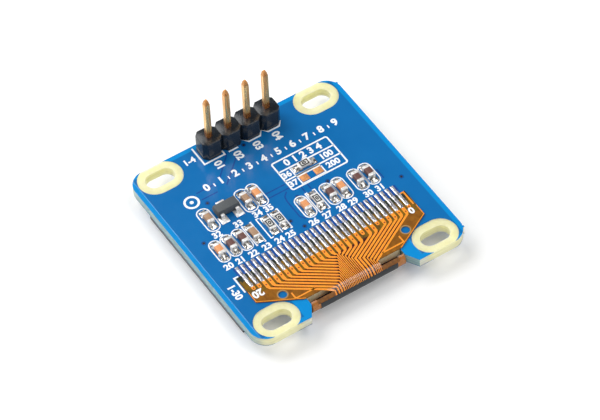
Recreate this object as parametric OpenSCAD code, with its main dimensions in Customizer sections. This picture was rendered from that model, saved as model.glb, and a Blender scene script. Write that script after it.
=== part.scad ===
// Small display module: a glass display panel taped under a circuit board.
// Its flex circuit folds up through a notch in the board and is soldered on top.
// Frame: +X runs along the header row, +Y points from the fold to the header,
// +Z points up. The display lies face down on z = 0, and the origin is under
// the centre of the board.

/* [Board] */
// How far the board stands out past each end of the display glass
board_margin = 0.3; // [0.25:0.05:1]
// Width of the board across the header row
board_w = 27.8; // [27.2:0.1:31]
// Thickness of the board with both coats of solder mask
board_t = 1.2; // [0.8:0.1:2]
// Radius of the board's corners
corner_r = 2; // [1.2:0.1:2.4]
// Thickness of one coat of solder mask
mask_t = 0.03; // [0.02:0.01:0.06]
// Width of the two torn tabs that the board's maker left on the right edge
tab_w = 0.25; // [0.15:0.05:0.5]
// Distance of the torn tabs from the ends of the right edge
tab_inset = 1.25; // [1:0.05:1.6]

/* [Notch for the fold] */
// Width of the notch at its back wall
notch_w = 12.2; // [12:0.1:13]
// Depth of the notch from the front edge
notch_d = 2.6; // [2.3:0.1:3]
// Length of the notch's straight sides before they splay out
notch_straight = 1.1; // [0.5:0.1:1.6]
// How far each side splays out at the front edge
notch_flare = 0.9; // [0.3:0.1:1.2]

/* [Mounting slots] */
// Length of a mounting slot, end to end
slot_l = 3.6; // [2.8:0.1:4.2]
// Width of a mounting slot
slot_w = 2.1; // [1.6:0.1:2.4]
// Length of the patch round a slot that has no solder mask
bare_l = 5.4; // [4.8:0.1:5.8]
// Width of the patch round a slot that has no solder mask
bare_w = 4.1; // [3.4:0.1:4.4]
// Distance of a slot's centre from the board's side edge
slot_inset_x = 3.35; // [3.1:0.05:3.6]
// Distance of a slot's centre from the board's front or rear edge
slot_inset_y = 1.9; // [1.7:0.05:2.2]

/* [Display panel] */
// Length of the display glass
glass_l = 26.7; // [25:0.1:27]
// Width of the display glass, with the ledge that carries the driver
glass_w = 19.26; // [18.6:0.02:20]
// Thickness of the display glass
glass_t = 0.55; // [0.4:0.05:0.8]
// Offset of the display glass from the board's centre line
glass_shift = -0.2; // [-0.4:0.05:0.4]
// Width of the ledge left clear by the cover glass
ledge_w = 3.8; // [3.4:0.1:4.6]
// Thickness of the cover glass
cover_t = 0.5; // [0.4:0.05:0.7]
// Thickness of the polarizer film
polarizer_t = 0.2; // [0.1:0.05:0.3]
// Margin left round the polarizer film
polarizer_margin = 0.5; // [0.2:0.05:1]
// Thickness of the foam tape that holds the panel to the board
tape_t = 0.25; // [0.15:0.05:0.5]
// Width of each strip of foam tape
tape_w = 4.5; // [3:0.1:5.5]
// Inset of the tape from the edges of the cover glass
tape_inset = 0.7; // [0.4:0.1:1.5]
// Length of the driver chip
driver_l = 6.8; // [5:0.1:10]
// Width of the driver chip
driver_w = 0.86; // [0.6:0.02:1.2]
// Thickness of the driver chip
driver_t = 0.3; // [0.2:0.05:0.4]

/* [Flex circuit] */
// Thickness of the flex circuit
flex_t = 0.1; // [0.06:0.01:0.15]
// Width of the flex circuit at its contacts
flex_w = 22; // [21.4:0.1:23]
// Clearance between the folded tail and each side of the notch
tail_gap = 0.07; // [0.05:0.01:0.2]
// Width of the neck that carries the traces over the fold
neck_w = 6.3; // [6.2:0.1:7.5]
// How much wider the neck starts on its left side
gusset_w = 1; // [0.2:0.1:1.2]
// Reach of the upper flap from the fold to its contact edge
flap_l = 6.7; // [6.6:0.05:7]
// Length of the upper flap's straight sides from the contact edge
flap_straight = 4; // [3.4:0.1:4.4]
// Distance of the fold's centre line outside the notch's back wall
fold_out = 0.3; // [0.2:0.01:0.4]
// Distance from the fold's centre line back to the upper edge of the windows
window_back = 0.15; // [0.05:0.01:0.2]
// Angle from the top of the fold at which the side windows end
window_angle = 66; // [60:1:80]
// Angle from the top of the fold at which the outer ears end
ear_angle = 32; // [25:1:50]
// Width of the ears at the outer ends of the windows
ear_w = 0.7; // [0.4:0.05:1]
// Diameter of the two tooling holes in the upper flap
tooling_d = 1; // [0.6:0.05:1.2]
// Distance of each tooling hole from the centre line
tooling_x = 8; // [7.8:0.05:8.4]
// Distance of the tooling holes from the fold's centre line
tooling_y = 2; // [1.9:0.05:2.1]
// Length of the flex circuit bonded to the display's ledge
bond_l = 1.3; // [1:0.05:1.6]
// Thickness of the black coverlay on the lower half of the fold
coverlay_t = 0.04; // [0.02:0.01:0.06]
// Width of the black coverlay
coverlay_w = 10; // [8:0.1:11]

/* [Contacts and traces] */
// Spacing of the contacts
contact_pitch = 0.7; // [0.66:0.01:0.72]
// Width of a contact
contact_w = 0.42; // [0.3:0.02:0.5]
// Length of the tinned contact on the flex circuit
contact_l = 1.95; // [1.5:0.05:2]
// Thickness of the tinned contact on the flex circuit
contact_t = 0.04; // [0.02:0.01:0.06]
// Length of the board's pads that shows behind the flex circuit
pad_show = 1.4; // [1:0.05:1.6]
// Thickness of the tinned pads on the board
pad_t = 0.04; // [0.02:0.01:0.06]
// Thickness of the traces on the flex circuit
trace_t = 0.02; // [0.01:0.01:0.04]
// Width of a trace next to its contact
trace_w = 0.46; // [0.3:0.02:0.5]
// Width of a trace on the slope towards the neck
slope_w = 0.22; // [0.14:0.02:0.24]
// Width of a trace on the neck
bundle_w = 0.12; // [0.08:0.01:0.14]
// Spacing of the traces on the left half of the neck
bundle_pitch_left = 0.19; // [0.17:0.01:0.22]
// Spacing of the traces on the right half of the neck
bundle_pitch_right = 0.25; // [0.2:0.01:0.26]
// Slope of the traces that run in from the left
fan_angle_left = 29; // [24:0.5:29]
// Slope of the traces that run in from the right
fan_angle_right = 27.5; // [24:0.5:27.5]
// Length of the straight trace between its contact and the slope
trace_lead = 1.1; // [0.9:0.05:1.1]
// Length of the short traces that end without a connection
stub_l = 0.5; // [0.3:0.05:0.6]

/* [Header] */
// Spacing of the header pins
pin_pitch = 2.54; // [2.5:0.01:2.6]
// Side of the square header pins
pin_w = 0.64; // [0.5:0.02:0.7]
// Height of the pins above the housing
pin_rise = 6.1; // [4:0.1:9]
// Length of the pin tails under the board
pin_tail = 1.1; // [0.8:0.05:1.2]
// Length of the tapered tip of a pin
pin_tip = 0.6; // [0.3:0.05:0.8]
// Height of the header housing
housing_h = 2.54; // [2:0.02:3]
// Depth of the header housing
housing_w = 2.5; // [2.3:0.02:2.6]
// Chamfer on the corners of each housing segment
housing_chamfer = 0.5; // [0.3:0.02:0.6]
// Distance of the pin row from the board's rear edge
header_inset = 1.6; // [1.5:0.05:1.9]
// Offset of the pin row from the board's centre line
header_shift = 0.15; // [-0.4:0.05:0.4]
// Diameter of the plated holes for the pins
pin_hole_d = 1; // [0.98:0.01:1.2]
// Diameter of the solder joint round a pin
joint_d = 1.7; // [1.5:0.05:2]

/* [Chip components] */
// Length of a chip component
chip_l = 1.6; // [1.5:0.02:1.7]
// Width of a chip component
chip_w = 0.8; // [0.7:0.02:0.9]
// Height of a chip capacitor
capacitor_h = 0.8; // [0.6:0.02:0.9]
// Height of a chip resistor
resistor_h = 0.45; // [0.35:0.02:0.6]
// Length of the metal end caps of a chip
cap_l = 0.34; // [0.2:0.02:0.4]
// How far the metal end caps stand proud of the chip's body
cap_proud = 0.02; // [0.01:0.01:0.04]
// Length of a solder pad under a chip
chip_pad_l = 0.95; // [0.85:0.02:1]
// Width of a solder pad under a chip
chip_pad_w = 0.9; // [0.84:0.02:0.96]
// Gap between the two pads of a chip
chip_pad_gap = 0.9; // [0.8:0.02:1]
// Radius of the solder fillet at the end of a capacitor
fillet_r = 0.42; // [0.2:0.02:0.46]

/* [Voltage regulator] */
// Length of the regulator's moulded body
regulator_l = 2.9; // [2.6:0.05:3]
// Width of the regulator's moulded body
regulator_w = 1.35; // [1.2:0.05:1.4]
// Height of the regulator's moulded body
regulator_h = 1.0; // [0.8:0.05:1.1]
// Air gap under the regulator's body
regulator_gap = 0.08; // [0.04:0.01:0.12]
// How far the body's sides lean in from its middle line
regulator_draft = 0.1; // [0.04:0.01:0.14]
// Width of a regulator lead
lead_w = 0.42; // [0.3:0.02:0.5]
// Thickness of a regulator lead
lead_t = 0.15; // [0.1:0.01:0.2]
// Distance between the regulator's two front leads
lead_pitch = 1.9; // [1.8:0.05:2]
// Reach of a lead from the body to the end of its foot
lead_reach = 0.55; // [0.5:0.05:0.7]

/* [Hidden] */
// Rounded shapes are drawn with this many facets, and rebuilt as true curves
$fn = 48;
// Overshoot of a cutting shape past the surface that it cuts
cut = 0.4;
// Rim of a solder fillet where it meets its pad and its chip
rim = 0.03;
// How far a torn tab reaches back into the board
tab_root = 0.5;
// Angle from the top of the fold at which the gusset runs out
knee_angle = 20;
// Clearance between the black film and the edge of the display glass
film_gap = 0.1;
// Side of a pin, divided by the side of its blunt end
tip_taper = 3;
// Share of a pin's tail that the solder joint covers
joint_share = 0.75;
// Where a regulator lead bends down and where its foot starts, as shares of its reach
lead_knee = 0.35;
lead_heel = 0.5;

pin_count = 4;
contact_count = 30;
// Contacts with no trace to the display, counted from the left
open_contacts = [0, 1, 20, 23, 29];

// Centres of the chips that stand across the header row: [x, y]
capacitor_places = [
    [-9.1, 3.85], [-4.2, 3.85], [-2.8, 3.85],
    [-10.45, -0.6], [-8.95, -0.6], [-7.45, -0.6],
    [0.75, -0.6], [4.05, -0.6], [5.5, -0.6], [7.65, -0.6], [9.15, -0.6]
];
// Centres and turns of the chip resistors: [x, y, turn]
resistor_places = [
    [-6, -0.6, 0], [-3.9, -0.6, 0], [-2.6, -0.6, 0], [2.3, -0.6, 0], [3.9, 4.5, 90]
];
// The place for a resistor that is left empty
spare_place = [3.87, 2.97, 90];
regulator_place = [-6.7, 3.9];

// Heights of the layers, from the table up
glass_z = polarizer_t;
ledge_z = glass_z + glass_t;
tape_z = ledge_z + cover_t;
board_z = tape_z + tape_t;
board_top = board_z + board_t;
pad_top = board_top + pad_t;
flex_top = pad_top + flex_t;

// The board's length follows the display glass
board_l = glass_l + 2 * board_margin;

// Lines across the board, as y positions
front_y = -board_w / 2;
rear_y = board_w / 2;
notch_y = front_y + notch_d;
fold_y = notch_y - fold_out;
flap_y = fold_y + flap_l;
glass_front_y = glass_shift - glass_w / 2;
glass_rear_y = glass_shift + glass_w / 2;
cover_front_y = glass_front_y + ledge_w;
cover_w = glass_rear_y - cover_front_y;
cover_y = (glass_rear_y + cover_front_y) / 2;
driver_y = (glass_front_y + bond_l + cover_front_y) / 2;
header_y = rear_y - header_inset;

// The fold is half a turn between the display's ledge and the board's top
fold_r = (pad_top - ledge_z - flex_t) / 2;
fold_z = ledge_z + flex_t + fold_r;
sheet_r = fold_r + flex_t;
tail_w = notch_w - 2 * tail_gap;

// Each contact's position, and where its trace runs on the neck
contact_first_x = -(contact_count - 1) / 2 * contact_pitch;
contact_y = flap_y - contact_l;
slope_y = contact_y - trace_lead;
live_contacts = [
    for (i = [0:contact_count - 1]) if (len(search(i, open_contacts)) == 0) i
];
left_live = [for (i = live_contacts) if (contact_x(i) < 0) i];
right_live = [for (i = live_contacts) if (contact_x(i) > 0) i];

// Distance of the innermost traces from the centre line of the neck
bundle_start = bundle_pitch_left / 2;

chip_pad_x = (chip_pad_gap + chip_pad_l) / 2;
regulator_z = pad_top + regulator_gap;

function contact_x(i) = contact_first_x + i * contact_pitch;

function pin_x(i) = header_shift + (i - (pin_count + 1) / 2) * pin_pitch;

function left_bundle_x(rank) = -bundle_start - rank * bundle_pitch_left;

function right_bundle_x(rank) = bundle_start + rank * bundle_pitch_right;

// ---------------------------------------------------------------- outlines

module rounded_rectangle(l, w, r) {
    square([l - 2 * r, w], center = true);
    square([l, w - 2 * r], center = true);
    for (sx = [-1, 1], sy = [-1, 1])
        translate([sx * (l / 2 - r), sy * (w / 2 - r)])
            circle(r);
}

module obround(l, w) {
    square([l - w, w], center = true);
    for (side = [-1, 1])
        translate([side * (l - w) / 2, 0])
            circle(d = w);
}

module at_slots() {
    for (sx = [-1, 1], sy = [-1, 1])
        translate([sx * (board_l / 2 - slot_inset_x), sy * (board_w / 2 - slot_inset_y)])
            children();
}

module at_pins() {
    for (i = [1:pin_count])
        translate([pin_x(i), header_y])
            children();
}

module notch_outline() {
    half = notch_w / 2;
    mouth = half + notch_flare;
    polygon([
        [-half, notch_y], [half, notch_y],
        [half, notch_y - notch_straight],
        [mouth, front_y], [mouth, front_y - cut],
        [-mouth, front_y - cut], [-mouth, front_y],
        [-half, notch_y - notch_straight]
    ]);
}

// The board's outline, with the two torn tabs on its right edge
module board_outline() {
    difference() {
        rounded_rectangle(board_l, board_w, corner_r);
        notch_outline();
    }
    for (side = [-1, 1])
        translate([board_l / 2 - tab_root, side * (board_w / 2 - tab_inset) - tab_w / 2])
            square([tab_root, tab_w]);
}

// ------------------------------------------------------------------- board

module pcb_laminate() {
    color("#e6deb2")
        translate([0, 0, board_z + mask_t])
            linear_extrude(board_t - 2 * mask_t)
                difference() {
                    board_outline();
                    at_slots() obround(slot_l, slot_w);
                    at_pins() circle(d = pin_hole_d);
                }
}

module solder_mask(z) {
    color("#1f74be")
        translate([0, 0, z])
            linear_extrude(mask_t)
                difference() {
                    board_outline();
                    at_slots() obround(bare_l, bare_w);
                    at_pins() circle(d = pin_hole_d);
                }
}

module solder_mask_front() {
    solder_mask(board_top - mask_t);
}

module solder_mask_back() {
    solder_mask(board_z);
}

// ----------------------------------------------------------- display panel

module display_glass() {
    color("#2b3036")
        translate([-glass_l / 2, glass_front_y, glass_z])
            cube([glass_l, glass_w, glass_t]);
}

module cover_glass() {
    color("#9aa3a8")
        translate([-glass_l / 2, cover_front_y, ledge_z])
            cube([glass_l, cover_w, cover_t]);
}

module polarizer() {
    film_l = glass_l - 2 * polarizer_margin;
    film_w = cover_w - 2 * polarizer_margin;
    color("#14161a")
        translate([-film_l / 2, cover_y - film_w / 2, 0])
            cube([film_l, film_w, polarizer_t]);
}

// Two strips of foam tape between the cover glass and the board
module foam_tape() {
    strip_l = glass_l - 2 * tape_inset;
    strip_y = cover_w / 2 - tape_inset - tape_w / 2;
    color("#202225")
        for (side = [-1, 1])
            translate([-strip_l / 2, cover_y + side * strip_y - tape_w / 2, tape_z])
                cube([strip_l, tape_w, tape_t]);
}

module driver_chip() {
    color("#3a3d42")
        translate([-driver_l / 2, driver_y - driver_w / 2, ledge_z])
            cube([driver_l, driver_w, driver_t]);
}

// ------------------------------------------------------------ flex circuit

// A strip of a sheet bent round the fold's axis, from x0 to x1. The angles
// start at the top of the fold and grow round its outside towards the bottom.
module fold_strip(x0, x1, inner_r, thickness, angle0, angle1) {
    translate([0, fold_y, fold_z])
        rotate([0, 90, 0])
            rotate([0, 0, 180 + angle0])
                rotate_extrude(angle = angle1 - angle0)
                    translate([inner_r, x0])
                        square([thickness, x1 - x0]);
}

// The flap that lies on the board, from its contact edge down to the fold
module flap_outline() {
    half = flex_w / 2;
    tail = tail_w / 2;
    shoulder_y = flap_y - flap_straight;
    difference() {
        polygon([
            [-half, flap_y], [half, flap_y], [half, shoulder_y],
            [tail, fold_y], [-tail, fold_y], [-half, shoulder_y]
        ]);
        for (side = [-1, 1])
            translate([side * tooling_x, fold_y + tooling_y])
                circle(d = tooling_d);
    }
}

// Cuts the fold's sheet right through between two angles, or further with a bigger reach
module fold_cut(x0, x1, angle0, angle1, reach = cut) {
    fold_strip(x0, x1, fold_r - reach, flex_t + 2 * reach, angle0, angle1);
}

// A window beside the neck lets the sheet bend easily. It starts behind the
// fold and follows it round. It leaves a low ear at its outer end and, where
// the gusset isn't zero, a wedge that makes the start of the neck wider.
module side_window(gusset) {
    tail = tail_w / 2;
    neck = neck_w / 2;
    back_y = fold_y + window_back;
    knee_y = fold_y - sheet_r * sin(knee_angle);
    slope = gusset / (back_y - knee_y);
    difference() {
        fold_cut(neck, tail + cut, -atan2(window_back, fold_r), window_angle);
        fold_cut(tail - ear_w, tail + 2 * cut, ear_angle, window_angle + ear_angle, 2 * cut);
        if (gusset > 0)
            translate([0, 0, fold_z])
                linear_extrude(sheet_r + 2 * cut)
                    polygon([
                        [neck - slope * cut, knee_y - cut],
                        [neck + gusset + slope * cut, back_y + cut],
                        [neck - slope * cut, back_y + cut]
                    ]);
    }
}

module flex_circuit() {
    tail_end_y = glass_front_y + bond_l;
    color("#96631f")
        difference() {
            union() {
                translate([0, 0, pad_top])
                    linear_extrude(flex_t)
                        flap_outline();
                fold_strip(-tail_w / 2, tail_w / 2, fold_r, flex_t, 0, 180);
                translate([-tail_w / 2, fold_y, ledge_z])
                    cube([tail_w, tail_end_y - fold_y, flex_t]);
            }
            side_window(0);
            mirror([1, 0, 0])
                side_window(gusset_w);
        }
}

// A black film on the outside of the fold, from the windows' lower edge down
module flex_coverlay() {
    half = coverlay_w / 2;
    film_end_y = glass_front_y - film_gap;
    window_z = fold_z + sheet_r * cos(window_angle);
    reach = sheet_r + coverlay_t + cut;
    color("#2c3034")
        difference() {
            union() {
                fold_strip(-half, half, sheet_r, coverlay_t, 0, 180);
                translate([-half, fold_y, ledge_z - coverlay_t])
                    cube([coverlay_w, film_end_y - fold_y, coverlay_t]);
            }
            translate([-half - cut, fold_y - reach, window_z])
                cube([coverlay_w + 2 * cut, 2 * reach, reach]);
        }
}

module flex_contacts() {
    color("#d8dade")
        for (i = [0:contact_count - 1])
            translate([contact_x(i) - contact_w / 2, contact_y, flex_top])
                cube([contact_w, contact_l, contact_t]);
}

// One trace: straight from its contact, down the slope, then along the neck.
// It runs over the fold and ends where the black coverlay starts.
module trace(x, neck_x, fan_angle) {
    inward = sign(neck_x - x);
    wide = inward * trace_w / 2;
    fine = inward * bundle_w / 2;
    drop = abs(neck_x - x) * tan(fan_angle);
    half_slope = slope_w / cos(fan_angle) / 2;
    wide_drop = trace_w / 2 * tan(fan_angle);
    fine_drop = bundle_w / 2 * tan(fan_angle);
    translate([0, 0, flex_top])
        linear_extrude(trace_t)
            polygon([
                [x - wide, contact_y],
                [x - wide, slope_y + wide_drop - half_slope],
                [neck_x - fine, slope_y - drop + fine_drop - half_slope],
                [neck_x - fine, fold_y],
                [neck_x + fine, fold_y],
                [neck_x + fine, slope_y - drop - fine_drop + half_slope],
                [x + wide, slope_y - wide_drop + half_slope],
                [x + wide, contact_y]
            ]);
    fold_strip(neck_x - bundle_w / 2, neck_x + bundle_w / 2,
        sheet_r, trace_t, 0, window_angle);
}

module stub_trace(x) {
    translate([0, 0, flex_top])
        linear_extrude(trace_t) {
            translate([x - trace_w / 2, contact_y - stub_l])
                square([trace_w, stub_l]);
            translate([x, contact_y - stub_l])
                circle(d = trace_w);
        }
}

module flex_traces() {
    color("#ffa032") {
        for (rank = [0:len(left_live) - 1])
            trace(contact_x(left_live[len(left_live) - 1 - rank]), left_bundle_x(rank),
                fan_angle_left);
        for (rank = [0:len(right_live) - 1])
            trace(contact_x(right_live[rank]), right_bundle_x(rank), fan_angle_right);
        for (i = open_contacts)
            stub_trace(contact_x(i));
    }
}

// -------------------------------------------------------- pads and solder

module connector_pads() {
    pad_l = pad_show + contact_l;
    color("#d8dade")
        for (i = [0:contact_count - 1])
            translate([contact_x(i) - contact_w / 2, flap_y + pad_show - pad_l, board_top])
                cube([contact_w, pad_l, pad_t]);
}

// The two pads of a chip that lies along Y
module chip_pads() {
    for (side = [-1, 1])
        translate([-chip_pad_w / 2, side * chip_pad_x - chip_pad_l / 2, board_top])
            cube([chip_pad_w, chip_pad_l, pad_t]);
}

// The hollow-faced wedge of solder against one end of a chip
module solder_fillet(r) {
    foot = r + rim;
    translate([-chip_w / 2, chip_l / 2, pad_top])
        rotate([90, 0, 90])
            linear_extrude(chip_w)
                difference() {
                    square([foot, foot]);
                    translate([foot, foot])
                        circle(r);
                }
}

module chip_solder(height) {
    chip_pads();
    for (turn = [0, 180])
        rotate([0, 0, turn])
            solder_fillet(min(fillet_r, height - 2 * rim));
}

module regulator_pads() {
    foot_y = regulator_w / 2 + lead_reach / 2;
    for (side = [-1, 1])
        translate([side * lead_pitch / 2, -foot_y, board_top + pad_t / 2])
            cube([chip_pad_w, chip_pad_l, pad_t], center = true);
    translate([0, foot_y, board_top + pad_t / 2])
        cube([chip_pad_w, chip_pad_l, pad_t], center = true);
}

module component_solder() {
    color("#cfd2d6") {
        for (place = capacitor_places)
            translate([place.x, place.y, 0])
                chip_solder(capacitor_h);
        for (place = resistor_places)
            translate([place.x, place.y, 0])
                rotate([0, 0, place[2]])
                    chip_solder(resistor_h);
        translate([regulator_place.x, regulator_place.y, 0])
            regulator_pads();
    }
}

module spare_pads() {
    color("#e8a25c")
        translate([spare_place.x, spare_place.y, 0])
            rotate([0, 0, spare_place[2]])
                chip_pads();
}

// ------------------------------------------------------------------ header

// One outline for the whole row of housing segments, with chamfered corners
module housing_outline() {
    half = housing_w / 2;
    flat = pin_pitch / 2 - housing_chamfer;
    edge = [
        for (i = [1:pin_count])
            each [
                [pin_x(i) - pin_pitch / 2, half - housing_chamfer],
                [pin_x(i) - flat, half],
                [pin_x(i) + flat, half]
            ]
    ];
    end = [[pin_x(pin_count) + pin_pitch / 2, half - housing_chamfer]];
    rear = concat(edge, end);
    front = [for (k = [len(rear) - 1:-1:0]) [rear[k].x, -rear[k].y]];
    polygon(concat(rear, front));
}

module header_housing() {
    color("#23282e")
        translate([0, header_y, board_top])
            linear_extrude(housing_h)
                difference() {
                    housing_outline();
                    for (i = [1:pin_count])
                        translate([pin_x(i), 0])
                            square(pin_w, center = true);
                }
}

// A square pin whose tip is cut to a blunt point from all four sides
module header_pin(i) {
    length = pin_tail + board_t + housing_h + pin_rise;
    half = pin_w / 2;
    point = half / tip_taper;
    profile = [
        [-half, 0], [half, 0], [half, length - pin_tip],
        [point, length], [-point, length], [-half, length - pin_tip]
    ];
    color("#d9a441")
        translate([pin_x(i), header_y, board_z - pin_tail])
            intersection_for(turn = [0, 90])
                rotate([0, 0, turn])
                    rotate([90, 0, 0])
                        translate([0, 0, -half])
                            linear_extrude(pin_w)
                                polygon(profile);
}

// Solder that fills each plated hole and rises up the pin's tail
module header_solder() {
    cone_h = pin_tail * joint_share;
    color("#c4c8cc")
        at_pins()
            difference() {
                union() {
                    translate([0, 0, board_z])
                        cylinder(h = board_t, d = pin_hole_d);
                    translate([0, 0, board_z - cone_h])
                        cylinder(h = cone_h, d1 = pin_hole_d, d2 = joint_d);
                }
                translate([-pin_w / 2, -pin_w / 2, board_z - pin_tail])
                    cube([pin_w, pin_w, pin_tail + board_t + cut]);
            }
}

// -------------------------------------------------------- chip components

// A chip lying along Y: a body between two metal end caps
module chip(height, body_colour) {
    body_w = chip_w - 2 * cap_proud;
    color(body_colour)
        translate([-body_w / 2, cap_l - chip_l / 2, pad_top + cap_proud])
            cube([body_w, chip_l - 2 * cap_l, height - 2 * cap_proud]);
    color("#dcdde0")
        for (y0 = [-chip_l / 2, chip_l / 2 - cap_l])
            translate([-chip_w / 2, y0, pad_top])
                cube([chip_w, cap_l, height]);
}

module capacitor(i) {
    place = capacitor_places[i - 1];
    translate([place.x, place.y, 0])
        chip(capacitor_h, "#8a5a46");
}

module resistor(i) {
    place = resistor_places[i - 1];
    translate([place.x, place.y, 0])
        rotate([0, 0, place[2]])
            chip(resistor_h, "#22201f");
}

// The moulded body's outline across one direction, widest at its middle
module regulator_profile(span) {
    middle = regulator_h / 2;
    half = span / 2;
    lean = half - regulator_draft;
    polygon([
        [-lean, 0], [lean, 0], [half, middle],
        [lean, regulator_h], [-lean, regulator_h], [-half, middle]
    ]);
}

module regulator_body() {
    color("#55585c")
        translate([regulator_place.x, regulator_place.y, regulator_z])
            intersection() {
                rotate([90, 0, 0])
                    linear_extrude(regulator_w, center = true)
                        regulator_profile(regulator_l);
                rotate([90, 0, 90])
                    linear_extrude(regulator_l, center = true)
                        regulator_profile(regulator_w);
            }
}

// A bent lead that leaves the body's middle line and stands on its pad
module regulator_lead() {
    exit_h = regulator_gap + regulator_h / 2;
    upper = exit_h + lead_t / 2;
    lower = exit_h - lead_t / 2;
    knee = lead_reach * lead_knee;
    heel = lead_reach * lead_heel;
    translate([-lead_w / 2, regulator_w / 2, pad_top])
        rotate([90, 0, 90])
            linear_extrude(lead_w)
                polygon([
                    [0, lower], [knee - lead_t / 2, lower], [heel - lead_t, 0],
                    [lead_reach, 0], [lead_reach, lead_t], [heel, lead_t],
                    [knee + lead_t / 2, upper], [0, upper]
                ]);
}

module regulator_leads() {
    color("#d2d4d8")
        translate([regulator_place.x, regulator_place.y, 0]) {
            regulator_lead();
            for (side = [-1, 1])
                translate([side * lead_pitch / 2, 0, 0])
                    rotate([0, 0, 180])
                        regulator_lead();
        }
}

// ------------------------------------------------------------------- model

pcb_laminate();
solder_mask_front();
solder_mask_back();
display_glass();
cover_glass();
polarizer();
foam_tape();
driver_chip();
flex_circuit();
flex_traces();
flex_contacts();
flex_coverlay();
connector_pads();
spare_pads();
component_solder();
header_housing();
header_solder();
for (i = [1:pin_count])
    header_pin(i);
regulator_body();
regulator_leads();
for (i = [1:len(capacitor_places)])
    capacitor(i);
for (i = [1:len(resistor_places)])
    resistor(i);
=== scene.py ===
"""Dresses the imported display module: materials, finer pieces, floor, light and camera.

Lengths are in millimetres in the code and become metres in the meshes.
"""
import math
import random

import bmesh
import bpy
from mathutils import Matrix, Vector


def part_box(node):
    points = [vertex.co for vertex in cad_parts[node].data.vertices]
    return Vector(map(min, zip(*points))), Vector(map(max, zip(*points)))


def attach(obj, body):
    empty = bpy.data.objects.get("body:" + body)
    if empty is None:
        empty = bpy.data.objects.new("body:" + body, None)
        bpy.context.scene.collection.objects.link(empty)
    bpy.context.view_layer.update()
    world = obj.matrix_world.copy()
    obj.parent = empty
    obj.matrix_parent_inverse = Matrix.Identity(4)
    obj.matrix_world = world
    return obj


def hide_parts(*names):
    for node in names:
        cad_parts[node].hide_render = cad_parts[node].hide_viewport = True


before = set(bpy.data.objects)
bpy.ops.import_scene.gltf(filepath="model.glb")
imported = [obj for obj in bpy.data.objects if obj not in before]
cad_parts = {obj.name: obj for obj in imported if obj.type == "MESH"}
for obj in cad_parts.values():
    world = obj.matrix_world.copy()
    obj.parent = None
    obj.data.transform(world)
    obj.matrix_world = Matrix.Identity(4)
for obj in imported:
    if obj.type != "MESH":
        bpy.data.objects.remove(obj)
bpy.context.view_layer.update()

MM = 0.001
scene = bpy.context.scene

# ------------------------------------------------------------------ measures


def box_mm(node):
    low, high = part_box(node)
    return low / MM, high / MM


def centre_mm(node):
    low, high = box_mm(node)
    return (low + high) / 2


BOARD_LOW, BOARD_HIGH = box_mm("pcb_laminate")
TOP = box_mm("solder_mask_front")[1].z
PADS_HIGH = box_mm("connector_pads")[1]
PAD_TOP = PADS_HIGH.z
FLEX_LOW, FLEX_HIGH = box_mm("flex_circuit")
FLEX_TOP = FLEX_HIGH.z
CONTACT_LOW, CONTACT_HIGH = box_mm("flex_contacts")

CONTACT_COUNT = 30
CONTACT_W = 0.42
CONTACT_PITCH = (CONTACT_HIGH.x - CONTACT_LOW.x - CONTACT_W) / (CONTACT_COUNT - 1)

CAPACITORS = [f"capacitor_{i}" for i in range(1, 12)]
RESISTORS = [f"resistor_{i}" for i in range(1, 6)]
PINS = [f"header_pin_{i}" for i in range(1, 5)]

# ------------------------------------------------------------------- colours

NOISE_ROUGHNESS = 0.6


def srgb(red, green, blue):
    """A colour as it shows on a screen, from 0 to 255, as linear light."""
    def linear(value):
        value /= 255
        return value / 12.92 if value <= 0.04045 else ((value + 0.055) / 1.055) ** 2.4
    return (linear(red), linear(green), linear(blue), 1)


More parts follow.
